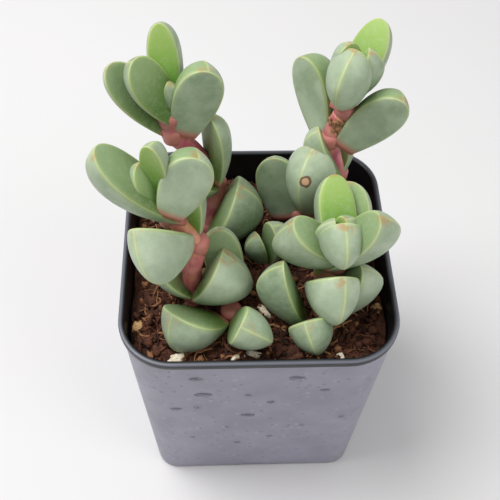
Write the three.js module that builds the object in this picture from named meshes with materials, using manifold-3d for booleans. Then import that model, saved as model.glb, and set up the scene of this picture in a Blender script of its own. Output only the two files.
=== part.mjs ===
// Potted ice plant: fleshy three-sided leaves in opposite pairs on short stems, in a square nursery pot.
// Millimetres, +Z up, origin at the centre of the pot's underside, -Y towards the front.
import * as THREE from "three";
import Module from "manifold-3d";

const wasm = await Module();
wasm.setup();

// Clearance left between neighbouring pieces
const GAP = 0.3;
// How far a cutting body runs on past the face that it cuts
const OVERRUN = 1;
const RAD = Math.PI / 180;

// Pot: thin-walled, square with rounded corners, wider at the rim
const POT = {
  rimWidth: 63.5,
  baseWidth: 54,
  height: 68,
  rimCorner: 12.4,
  baseCorner: 5.8,
  wall: 0.9,
  lipReach: 0.5,
  lipHeight: 2.2,
  floor: 2,
  bevel: 0.8,
  notchWidth: 14,
  notchHeight: 1,
  notchDepth: 9,
  drainRadius: 2.6,
  drainSides: 14,
  drainSpread: 17,
  lipEase: 0.4,
  rimEase: 0.35,
  floorEase: 0.6,
  floorRise: 1,
};
// Potting mix: flat at the wall, heaped a little towards the front
const SOIL = {
  top: 60.9,
  heap: 0.055,
  bump: 0.55,
  edgeDrop: 0.7,
  underBevel: 0.8,
  circles: [0.82, 0.58, 0.3],
};
// Soft lumps on the mix: broad ones along both sides, and finer ones set across them
const LUMPS = {
  broad: { x: 0.41, xStart: 1.1, y: 0.37, yStart: -0.4 },
  fine: { x: 0.83, y: -0.52, share: 0.6 },
};
// Places along a leaf where a section is drawn, and how its faces curve
const LEAF_RINGS = [0, 0.15, 0.36, 0.58, 0.77, 0.9, 0.96, 0.99];
const LEAF = { curl: 0.05, bulge: 0.16, crown: 0.1 };
// Share of the full size at a leaf's root, where it is widest, and how its blunt tip rounds off
const WIDTH = { root: 0.52, widest: 0.58, fall: 2.3, blunt: 0.5 };
const DEPTH = { root: 0.45, widest: 0.6, fall: 2.4, blunt: 0.5 };
// How much a leaf's clearance adds to its sizes and lifts its section
const LEAF_CLEARANCE = { side: 1.4, lift: 0.6 };
const STEM = { sides: 9, stepsPerMm: 0.22, fewestSteps: 4, taper: 0.12 };
// Sleeve round the stem where the roots of a pair meet
const COLLAR = { radius: 3.2, up: 1.4, down: 2.2, sides: 10, taper: 0.75, fullFrom: 0.3, fullTo: 0.4 };

const V = (x, y, z) => new THREE.Vector3(x, y, z);

// A closed skin through rings of equal point count, as a solid
function skin(rings) {
  const count = rings[0].length;
  const points = rings.flat();
  const faces = [];
  for (let i = 0; i + 1 < rings.length; i += 1) {
    for (let j = 0; j < count; j += 1) {
      const a = i * count + j;
      const b = i * count + ((j + 1) % count);
      faces.push([a, b, b + count], [a, b + count, a + count]);
    }
  }
  const cap = (start, flip) => {
    const centre = new THREE.Vector3();
    for (let j = 0; j < count; j += 1) {
      centre.addScaledVector(points[start + j], 1 / count);
    }
    const middle = points.push(centre) - 1;
    for (let j = 0; j < count; j += 1) {
      const a = start + j;
      const b = start + ((j + 1) % count);
      faces.push(flip ? [b, a, middle] : [a, b, middle]);
    }
  };
  cap(0, true);
  cap((rings.length - 1) * count, false);
  return solid(points, faces);
}

// A solid from points and triangles, turned to face out
function solid(points, faces) {
  let volume = 0;
  for (const [a, b, c] of faces) {
    volume += points[a].dot(points[b].clone().cross(points[c]));
  }
  const outward = volume > 0 ? faces : faces.map(([a, b, c]) => [a, c, b]);
  const mesh = new wasm.Mesh({
    numProp: 3,
    vertProperties: new Float32Array(points.flatMap((p) => [p.x, p.y, p.z])),
    triVerts: new Uint32Array(outward.flat()),
  });
  return new wasm.Manifold(mesh);
}

// Every piece of a solid but the largest is a loose scrap and is dropped
function largest(body) {
  const pieces = body.decompose();
  return pieces.reduce((best, piece) => (piece.volume() > best.volume() ? piece : best));
}

// Outline of the pot at one height
function squareRing(width, corner, z, perCorner = 5) {
  const ring = [];
  const centre = width / 2 - corner;
  for (let quarter = 0; quarter < 4; quarter += 1) {
    const middle = (45 + 90 * quarter) * RAD;
    for (let i = 0; i < perCorner; i += 1) {
      const turn = (90 * quarter + (90 * i) / (perCorner - 1)) * RAD;
      const x = Math.sign(Math.cos(middle)) * centre + corner * Math.cos(turn);
      const y = Math.sign(Math.sin(middle)) * centre + corner * Math.sin(turn);
      ring.push(V(x, y, z));
    }
  }
  return ring;
}

// Width and corner radius of the pot's outside at a height
function potOutside(z) {
  const share = z / POT.height;
  return {
    width: THREE.MathUtils.lerp(POT.baseWidth, POT.rimWidth, share),
    corner: THREE.MathUtils.lerp(POT.baseCorner, POT.rimCorner, share),
  };
}

function potRing(z, inset) {
  const { width, corner } = potOutside(z);
  return squareRing(width - 2 * inset, corner - inset, z);
}

function buildPot() {
  const under = POT.height - POT.lipHeight;
  const outer = skin([
    potRing(0, POT.bevel),
    potRing(POT.bevel, 0),
    potRing(under, POT.lipReach),
    potRing(under + POT.lipEase, 0),
    potRing(POT.height - POT.lipEase, 0),
    potRing(POT.height, POT.rimEase),
  ]);
  const wall = POT.wall + POT.lipReach;
  const inner = skin([
    potRing(POT.floor, wall + POT.floorEase),
    potRing(POT.floor + POT.floorRise, wall),
    potRing(POT.height + OVERRUN, wall),
  ]);
  let pot = outer.subtract(inner);
  for (let side = 0; side < 4; side += 1) {
    pot = pot.subtract(archNotch(side * 90 * RAD));
  }
  for (const x of [-1, 1]) {
    for (const y of [-1, 1]) {
      pot = pot.subtract(drainHole((x * POT.drainSpread) / 2, (y * POT.drainSpread) / 2));
    }
  }
  return pot;
}

// Room that the pot's wall needs, with the clearance on both faces
function potRoom() {
  const inset = POT.wall + POT.lipReach + GAP;
  const outer = skin([potRing(0, -GAP), potRing(POT.height + GAP, -GAP)]);
  return outer.subtract(skin([potRing(-OVERRUN, inset), potRing(POT.height + 2 * OVERRUN, inset)]));
}

// Low arch under the middle of one side, through to the floor's edge
const ARCH = { steps: 6, leastHeight: 0.02 };
function archNotch(turn) {
  const { steps, leastHeight } = ARCH;
  const ringAt = (reach) => {
    const ring = [];
    for (let i = 0; i <= steps; i += 1) {
      const across = (i / steps - 0.5) * POT.notchWidth;
      const height = POT.notchHeight * Math.sin((Math.PI * i) / steps) ** 0.5;
      ring.push(V(reach, across, Math.max(height, leastHeight)));
    }
    ring.push(V(reach, POT.notchWidth / 2, -OVERRUN), V(reach, -POT.notchWidth / 2, -OVERRUN));
    return ring.map((p) => p.applyAxisAngle(V(0, 0, 1), turn));
  };
  return skin([ringAt(POT.baseWidth / 2 - POT.notchDepth), ringAt(POT.baseWidth / 2 + OVERRUN)]);
}

function drainHole(x, y) {
  const ringAt = (z) => circle(POT.drainRadius, POT.drainSides).map((p) => V(x + p.x, y + p.y, z));
  return skin([ringAt(-OVERRUN), ringAt(POT.floor + OVERRUN)]);
}

function circle(radius, sides) {
  return Array.from({ length: sides }, (_, i) => {
    const turn = (2 * Math.PI * i) / sides;
    return V(radius * Math.cos(turn), radius * Math.sin(turn), 0);
  });
}

// Height of the mix at a spot: a slope towards the front with soft lumps
function soilHeight(x, y) {
  const { broad, fine } = LUMPS;
  const wide = Math.sin(broad.x * x + broad.xStart) * Math.cos(broad.y * y + broad.yStart);
  const small = fine.share * Math.sin(fine.x * x + fine.y * y);
  return SOIL.top - SOIL.heap * y + SOIL.bump * (wide + small);
}

// Ring of the mix against the wall, with two more points along each straight side
function soilRing(z, inset) {
  const perCorner = 4;
  const { width, corner } = potOutside(z);
  return squareRing(width - 2 * inset, corner - inset, z, perCorner).flatMap((p, i, all) => {
    if (i % perCorner !== perCorner - 1) {
      return [p];
    }
    const next = all[(i + 1) % all.length];
    return [p, p.clone().lerp(next, 1 / 3), p.clone().lerp(next, 2 / 3)];
  });
}

function buildSoil() {
  const inset = POT.wall + POT.lipReach + GAP;
  const under = POT.floor + GAP;
  const low = [soilRing(under, inset + SOIL.underBevel), soilRing(under + SOIL.underBevel, inset)];
  const edge = soilRing(SOIL.top, inset);
  const rim = edge.map((p) => V(p.x, p.y, soilHeight(p.x, p.y) - SOIL.edgeDrop));
  const inner = SOIL.circles.map((share) => edge.map((p) => {
    const x = p.x * share;
    const y = p.y * share;
    return V(x, y, soilHeight(x, y));
  }));
  return skin([...low, rim, ...inner]);
}

// Directions of a leaf: along it, across it and out of its upper face
function leafAxes({ az, rise, roll }) {
  const [a, e, r] = [az * RAD, rise * RAD, roll * RAD];
  const along = V(Math.cos(e) * Math.cos(a), Math.cos(e) * Math.sin(a), Math.sin(e));
  const flat = V(-Math.sin(e) * Math.cos(a), -Math.sin(e) * Math.sin(a), Math.cos(e));
  const side = flat.clone().cross(along);
  const up = flat.multiplyScalar(Math.cos(r)).addScaledVector(side, Math.sin(r));
  return { along, up, across: up.clone().cross(along) };
}

// Share of the full width or depth along a leaf, from its root to its blunt tip
function leafShare(s, { root, widest, fall, blunt }) {
  const grow = root + (1 - root) * Math.sin((Math.PI / 2) * Math.min(s / widest, 1));
  return grow * (1 - Math.max((s - widest) / (1 - widest), 0) ** fall) ** blunt;
}

// Three-sided leaf: two margins, a keel underneath and softly bulging faces
function leafSolid(node, leaf, grow = 0) {
  const { along, up, across } = leafAxes(leaf);
  const root = V(...node).add(V(...(leaf.shift ?? [0, 0, 0]))).addScaledVector(along, -grow);
  const length = leaf.length + 2 * grow;
  const rings = LEAF_RINGS.map((s) => {
    const w = (leaf.width / 2) * leafShare(s, WIDTH) + LEAF_CLEARANCE.side * grow;
    const d = leaf.depth * leafShare(s, DEPTH) + LEAF_CLEARANCE.side * grow;
    const sag = LEAF.curl * length * (s * s - s) + LEAF_CLEARANCE.lift * grow;
    const ring = [];
    const at = (y, z) => {
      const p = root.clone().addScaledVector(along, length * s);
      ring.push(p.addScaledVector(across, y).addScaledVector(up, sag + z));
    };
    const side = (sign, t) => {
      const bulge = 4 * t * (1 - t) * LEAF.bulge;
      at(sign * (w * (1 - t) + d * bulge), -d * t - w * bulge);
    };
    at(0, LEAF.crown * w);
    for (const t of [0, 1 / 3, 2 / 3]) {
      side(1, t);
    }
    at(0, -d);
    for (const t of [2 / 3, 1 / 3, 0]) {
      side(-1, t);
    }
    return ring;
  });
  return skin(rings);
}

// Stem along its nodes, grown where another piece has to stand clear of it
function stemSolid(stem, grow = 0) {
  const path = new THREE.CatmullRomCurve3(stem.path.map((p) => V(...p)), false, "centripetal");
  const steps = Math.max(STEM.fewestSteps, Math.round(path.getLength() * STEM.stepsPerMm));
  const rings = [];
  for (let i = 0; i <= steps; i += 1) {
    const u = i / steps;
    const centre = path.getPointAt(u);
    const tangent = path.getTangentAt(u);
    const side = V(1, 0, 0).addScaledVector(tangent, -tangent.x).normalize();
    const other = tangent.clone().cross(side);
    const radius = stem.radius * (1 - STEM.taper * u) + grow;
    if (i === 0 || i === steps) {
      centre.addScaledVector(tangent, i === 0 ? -grow : grow);
    }
    rings.push(circle(radius, STEM.sides).map((p) => (
      centre.clone().addScaledVector(side, p.x).addScaledVector(other, p.y)
    )));
  }
  return skin(rings);
}

// Short sleeve that joins the leaf roots of a pair round the stem
function collarSolid(node, grow = 0) {
  const ringAt = (rise, share) => circle(COLLAR.radius * share + grow, COLLAR.sides)
    .map((p) => V(node[0] + p.x, node[1] + p.y, node[2] + rise));
  return skin([
    ringAt(-COLLAR.down - grow, COLLAR.taper),
    ringAt(-COLLAR.down * COLLAR.fullFrom, 1),
    ringAt(COLLAR.up * COLLAR.fullTo, 1),
    ringAt(COLLAR.up + grow, COLLAR.taper),
  ]);
}

const leaf = (az, rise, roll, length, width, depth, shift) => (
  { az, rise, roll, length, width, depth, shift }
);

// Stems from below the soil to the last pair of leaves
const STEMS = {
  a: {
    radius: 2.4,
    path: [
      [-12.5, 11.5, 50], [-12, 12, 61], [-9.5, 16.6, 72],
      [-14, 15.6, 84], [-19, 14, 92], [-19.3, 14.3, 95],
    ],
  },
  b: {
    radius: 2.3,
    path: [[21.5, 20.2, 50], [21.2, 20.3, 62], [20.4, 20.2, 73], [17.6, 19.1, 85], [19.6, 19.6, 92.5]],
  },
  c: {
    radius: 2.3,
    path: [[-14.8, -10, 50], [-15.4, -10, 64], [-15, -9.2, 73], [-14.2, -8.2, 80], [-19.4, -5.8, 88]],
  },
  d: { radius: 2.3, path: [[16.6, -17.5, 50], [15.8, -15, 60], [15.8, -11.2, 67.5], [17.6, -10.3, 75.5]] },
  k: { radius: 2.2, path: [[-6.3, -14.5, 50], [-6.3, -14.5, 56], [-6.3, -14.5, 62.5]] },
  e: { radius: 2.2, path: [[11, 13.5, 50], [11, 13.5, 58], [11, 13.5, 64.5]] },
  f: { radius: 1.8, path: [[2.2, 0.7, 50], [2.2, 0.7, 55], [2.2, 0.7, 60.5]] },
};

// Leaf groups: the leaves round the nodes of a stem, uppermost first
// Each leaf: azimuth (0 right, 90 back), rise and roll in degrees, length, width, depth, then root shift
const GROUPS = {
  head_a: [
    {
      at: [-19.5, 14.5, 96.5],
      leaves: [
        leaf(100, 65, 12, 21.6, 6.7, 11, [0.2, -0.6, -0.6]),
        leaf(186, 62, 40, 19.4, 10, 5.5, [2.6, -0.1, -0.4]),
      ],
    },
    { at: [-19.5, 14.4, 97], leaves: [leaf(339, 87, 7, 11, 4.8, 4, [-0.6, 2, -2.6])] },
    {
      at: [-19, 14, 93],
      leaves: [
        leaf(171, 53, 34, 21, 9.4, 5.7, [0, 0.2, 0.1]),
        leaf(13, 71, -80, 18.4, 10.8, 9, [2.6, -1.6, -0.2]),
      ],
    },
  ],
  head_b: [
    {
      at: [20.3, 19.8, 94],
      leaves: [
        leaf(50, 49, 4, 22.3, 9.4, 7.7, [-1.9, -0.2, -0.5]),
        leaf(255, 84, 14, 15.8, 9.8, 8.9, [0.6, 1.3, 1.6]),
      ],
    },
    {
      at: [20.3, 19.7, 94.3],
      leaves: [
        leaf(144, 85, 20, 17.5, 8.4, 4.5, [0.3, 0, 0]),
        leaf(354, 74, 3, 14.9, 6.4, 5.6, [-0.7, 1.6, 1.4]),
      ],
    },
  ],
  head_c: [
    {
      at: [-20.8, -5.5, 90],
      leaves: [
        leaf(55, 92, -7, 19.7, 6.2, 5.5, [-1.3, 0.7, -1.7]),
        leaf(148, 60, 4, 15, 7.5, 5.5, [2.1, -1.9, -1.8]),
      ],
    },
    {
      at: [-19.6, -5.7, 88],
      leaves: [
        leaf(175, 47, 1, 26, 11.3, 8.4, [4, 0.5, -1.2]),
        leaf(31, 60, -58, 15.6, 10.8, 10.5, [0.3, -3.3, 2.4]),
      ],
    },
  ],
  head_d: [
    {
      at: [18, -10, 77.5],
      leaves: [
        leaf(98, 36, -7, 20.2, 8.9, 9.9, [1.2, -1.6, -0.8]),
        leaf(281, 71, 7, 12.8, 9.5, 8.6, [-1.3, 2.8, 1.5]),
      ],
    },
    {
      at: [18, -9.8, 78.5],
      leaves: [
        leaf(169, 77, -10, 11, 5.8, 4.9, [0.2, 0, 0]),
        leaf(14, 85, -12, 10.6, 6.3, 4.6, [-1, 0.5, 0.2]),
      ],
    },
    {
      at: [17.5, -10.3, 76],
      leaves: [
        leaf(178, 40, 9, 18.7, 8.6, 12.5, [3.8, 0.4, 1]),
        leaf(352, 60, -21, 20.9, 8.5, 10.8, [-3.6, -0.2, -0.4]),
      ],
    },
  ],
  pair_b_middle: [
    {
      at: [17.5, 19, 86],
      leaves: [
        leaf(119, 57, 65, 19.6, 8.6, 11.4, [-2.4, -0.1, -0.5]),
        leaf(348, 56, -88, 20.5, 10.7, 8.5, [2.9, -2.7, -1.8]),
      ],
    },
  ],
  pair_c_middle: [
    {
      at: [-13.6, -8, 80.6],
      leaves: [
        leaf(221, 46, -43, 19.3, 8.6, 11.2, [-2.2, 1.2, 1]),
        leaf(35, 90, -39, 17.4, 4, 6.6, [-0.9, 1.1, -1.7]),
      ],
    },
  ],
  pair_d_middle: [
    {
      at: [15.7, -11, 66.7],
      leaves: [
        leaf(71, 47, 15, 25.3, 12.9, 9.3, [0.1, 0, 0]),
        leaf(298, 56, 23, 16.7, 11.2, 10.4, [-2.1, 1.2, 0.5]),
      ],
    },
  ],
  pair_a_middle: [
    {
      at: [-9.4, 17, 72],
      leaves: [leaf(35, 92, 4, 21.9, 10.1, 5, [-0.8, -2, 2.7]), leaf(215, 42, 0, 13.5, 9, 7)],
    },
  ],
  pair_c_low: [
    {
      at: [-15.4, -10, 64.6],
      leaves: [
        leaf(179, 53, -16, 15.2, 10.5, 3.5, [1.2, -0.1, -0.3]),
        leaf(21, 58, 37, 13.5, 16, 10.9, [0.5, -0.2, 0.2]),
      ],
    },
  ],
  rosette_k: [
    {
      at: [-6.3, -14.5, 63],
      leaves: [
        leaf(112, 55, 16, 17.5, 8.8, 10.3, [0.6, 2.1, 1.3]),
        leaf(208, 40, -24, 15.3, 14.6, 9.1, [-2.7, -1.1, -0.7]),
        leaf(280, 53, -55, 16.5, 9.4, 9.1, [-0.1, -2.1, -1.1]),
      ],
    },
  ],
  pair_b_low: [
    {
      at: [21, 20.3, 71.8],
      leaves: [
        leaf(198, 65, 14, 17.6, 10.4, 5.7, [0.8, 0.5, 0.6]),
        leaf(62, 63, 16, 11.8, 6.2, 5.5, [-1.7, -1.1, -1.5]),
      ],
    },
  ],
  rosette_d: [
    {
      at: [15.5, -15, 61.5],
      leaves: [
        leaf(171, 72, -8, 22.3, 8.9, 8.2, [-3.8, -1.2, -1.2]),
        leaf(6, 68, -3, 18.5, 8.2, 9, [-0.2, 0.1, 0]),
      ],
    },
    { at: [15.7, -16.5, 61], leaves: [leaf(242, 53, -38, 15, 10.2, 8, [-2, 1, -1.2])] },
  ],
  pair_a_low: [
    {
      at: [-12, 12, 62],
      leaves: [
        leaf(6, 66, 17, 19.3, 17, 9.6, [-0.1, -2.2, -1.4]),
        leaf(160, 40, 0, 15, 9, 8),
      ],
    },
  ],
  pair_e: [
    {
      at: [11, 13.5, 65],
      leaves: [
        leaf(122, 70, 41, 17.8, 11.2, 5.5, [-3.6, -1.6, -1.3]),
        leaf(282, 99, 41, 19.4, 12.9, 8.7, [3.5, 0.4, 0.7]),
      ],
    },
  ],
  pair_f: [
    {
      at: [2.2, 0.7, 61],
      leaves: [
        leaf(159, 77, -46, 9.4, 7.3, 4.3, [0.2, 0.4, 0.3]),
        leaf(31, 84, 7, 13, 8.1, 6.4),
      ],
    },
  ],
  leaf_c_lowest: [{ at: [-15, -10.2, 61], leaves: [leaf(170, -6, -21, 9.7, 6.2, 5.5, [0.7, 0.2, 0])] }],
};

// Leaves of one group with their collars, as one solid
function groupSolid(nodes, grow = 0) {
  const parts = nodes.flatMap(({ at, leaves }) => [
    collarSolid(at, grow),
    ...leaves.map((one) => leafSolid(at, one, grow)),
  ]);
  return wasm.Manifold.union(parts);
}

// Pale mineral grains and tan chips lying half sunk in the mix: spot, half sizes and turn
const GRAINS = {
  perlite_front_left: { at: [-18.7, -27], size: [2.1, 1.4, 1.2], turn: 20, colour: "perlite" },
  perlite_front_middle: { at: [-5.6, -27.4], size: [1.2, 0.8, 0.9], turn: 60, colour: "perlite" },
  perlite_flat: { at: [-1.8, -26], size: [2, 1.1, 0.8], turn: 175, colour: "perlite" },
  perlite_front_right: { at: [18.2, -26.8], size: [1.1, 0.8, 0.8], turn: 110, colour: "perlite" },
  perlite_long: { at: [1.3, -14.7], size: [2, 0.8, 0.9], turn: 130, colour: "perlite" },
  perlite_by_leaf: { at: [8.3, -20.4], size: [1.3, 0.9, 0.8], turn: 15, colour: "perlite" },
  chip_round: { at: [28, -13.8], size: [1.3, 1.2, 1], turn: 0, colour: "chip" },
  chip_left: { at: [-28, -18.1], size: [1.6, 1.2, 1], turn: 75, colour: "chip" },
  chip_orange: { at: [1.8, -23.2], size: [1.2, 0.8, 0.8], turn: 40, colour: "chip" },
};
// Unevenness of a grain's corners, and how far its middle lies over the mix as a share of its half height
const GRAIN = {
  first: { depth: 0.09, x: 5.3, y: 2.1 },
  second: { depth: 0.07, z: 4.7, y: -3.1 },
  lift: 0.25,
};

// A rough grain: twenty faces with uneven corners
function grainSolid({ at, size, turn }, grow = 0) {
  const { first, second } = GRAIN;
  const rough = new THREE.IcosahedronGeometry(1, 0);
  const seen = new Map();
  const points = [];
  const corner = (i) => {
    const p = new THREE.Vector3().fromBufferAttribute(rough.attributes.position, i);
    const key = p.toArray().map((c) => c.toFixed(3)).join();
    if (!seen.has(key)) {
      const sideways = first.depth * Math.sin(first.x * p.x + first.y * p.y + at[0]);
      const upright = second.depth * Math.cos(second.z * p.z + second.y * p.y + at[1]);
      const uneven = 1 + sideways + upright;
      const shaped = V(...size).addScalar(grow).multiply(p.clone().multiplyScalar(uneven));
      shaped.applyAxisAngle(V(0, 0, 1), turn * RAD);
      seen.set(key, points.push(shaped.add(V(at[0], at[1], soilHeight(...at) + size[2] * GRAIN.lift))) - 1);
    }
    return seen.get(key);
  };
  const faces = [];
  for (let i = 0; i < rough.attributes.position.count; i += 3) {
    faces.push([corner(i), corner(i + 1), corner(i + 2)]);
  }
  return solid(points, faces);
}

const FINISH = {
  pot: { color: 0x2a2a2e, roughness: 0.45, metalness: 0 },
  soil: { color: 0x452a1c, roughness: 0.95, metalness: 0 },
  leaf: { color: 0x94a77c, roughness: 0.5, metalness: 0 },
  stem: { color: 0xbd6a63, roughness: 0.6, metalness: 0 },
  perlite: { color: 0xede0c6, roughness: 0.9, metalness: 0 },
  chip: { color: 0xc79b68, roughness: 0.9, metalness: 0 },
};

const group = new THREE.Group();

function addNode(name, body, finish) {
  const { numProp, vertProperties, triVerts } = largest(body).getMesh();
  const geometry = new THREE.BufferGeometry();
  const positions = new Float32Array((vertProperties.length / numProp) * 3);
  for (let i = 0; i * numProp < vertProperties.length; i += 1) {
    positions.set(vertProperties.subarray(i * numProp, i * numProp + 3), i * 3);
  }
  geometry.setAttribute("position", new THREE.BufferAttribute(positions, 3));
  geometry.setIndex(Array.from(triVerts));
  geometry.computeVertexNormals();
  const mesh = new THREE.Mesh(geometry, new THREE.MeshStandardMaterial(FINISH[finish]));
  mesh.name = name;
  group.add(mesh);
}

// A body less every clearance volume that its box meets
function clearOf(body, others) {
  const box = body.boundingBox();
  const near = others.filter((other) => {
    const far = other.boundingBox();
    return [0, 1, 2].every((i) => far.min[i] < box.max[i] && far.max[i] > box.min[i]);
  });
  return near.length ? body.subtract(wasm.Manifold.union(near)) : body;
}

const room = Object.values(STEMS).map((stem) => stemSolid(stem, GAP));
const wallRoom = potRoom();
addNode("pot", buildPot(), "pot");
for (const [name, stem] of Object.entries(STEMS)) {
  addNode(`stem_${name}`, stemSolid(stem), "stem");
}
for (const [name, one] of Object.entries(GROUPS)) {
  addNode(`leaves_${name}`, clearOf(groupSolid(one), [...room, wallRoom]), "leaf");
  room.push(groupSolid(one, GAP));
}
for (const [name, grain] of Object.entries(GRAINS)) {
  addNode(name, clearOf(grainSolid(grain), room), grain.colour);
}
for (const grain of Object.values(GRAINS)) {
  room.push(grainSolid(grain, GAP));
}
addNode("soil", clearOf(buildSoil(), room), "soil");

export default group;
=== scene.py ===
import logging
import math
from dataclasses import dataclass
from enum import Enum
from typing import Iterable, Sequence

import bpy
import numpy as np
from mathutils import Matrix, Vector, noise


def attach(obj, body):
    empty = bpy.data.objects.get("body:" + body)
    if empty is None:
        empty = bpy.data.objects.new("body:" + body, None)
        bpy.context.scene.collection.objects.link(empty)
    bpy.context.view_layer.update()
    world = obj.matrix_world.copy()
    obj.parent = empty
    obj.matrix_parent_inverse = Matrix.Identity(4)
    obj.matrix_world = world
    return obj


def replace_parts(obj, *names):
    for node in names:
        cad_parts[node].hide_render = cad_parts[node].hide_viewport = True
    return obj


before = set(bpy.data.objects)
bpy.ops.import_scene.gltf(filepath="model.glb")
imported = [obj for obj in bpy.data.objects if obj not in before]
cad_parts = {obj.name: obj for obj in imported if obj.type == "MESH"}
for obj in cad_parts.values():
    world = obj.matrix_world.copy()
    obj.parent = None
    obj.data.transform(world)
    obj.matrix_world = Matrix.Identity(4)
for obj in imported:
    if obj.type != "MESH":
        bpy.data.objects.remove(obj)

LOG = logging.getLogger("potted_ice_plant")
# The frame is in metres and every size below in millimetres
MM = 0.001
BODY = "root"
SEED = 7
Point = tuple[float, float, float]
Socket = bpy.types.NodeSocket


class Slot(Enum):
    """Material slots of the record."""

    POT = "pot_plastic"
    MIX = "potting_mix"
    LEAF = "leaf_flesh"
    STEM = "stem_skin"
    PERLITE = "perlite"
    CHIP = "bark_chip"


class GrainKind(Enum):
    """What a grain on the mix is made of."""

    PERLITE = "perlite"
    CHIP = "chip"


# Helpers for colour and node materials


def hue(code: str) -> tuple[float, float, float, float]:
    """Turns a display colour such as #8fa07f into the linear values that shaders use.

    Args:
        code: Red, green and blue as six hexadecimal digits after a hash.

    Returns:
        Linear red, green, blue and an alpha of 1.
    """
    parts = [int(code[i:i + 2], 16) / 255 for i in (1, 3, 5)]
    linear = [c / 12.92 if c <= 0.04045 else ((c + 0.055) / 1.055) ** 2.4 for c in parts]
    return (*linear, 1.0)


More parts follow.
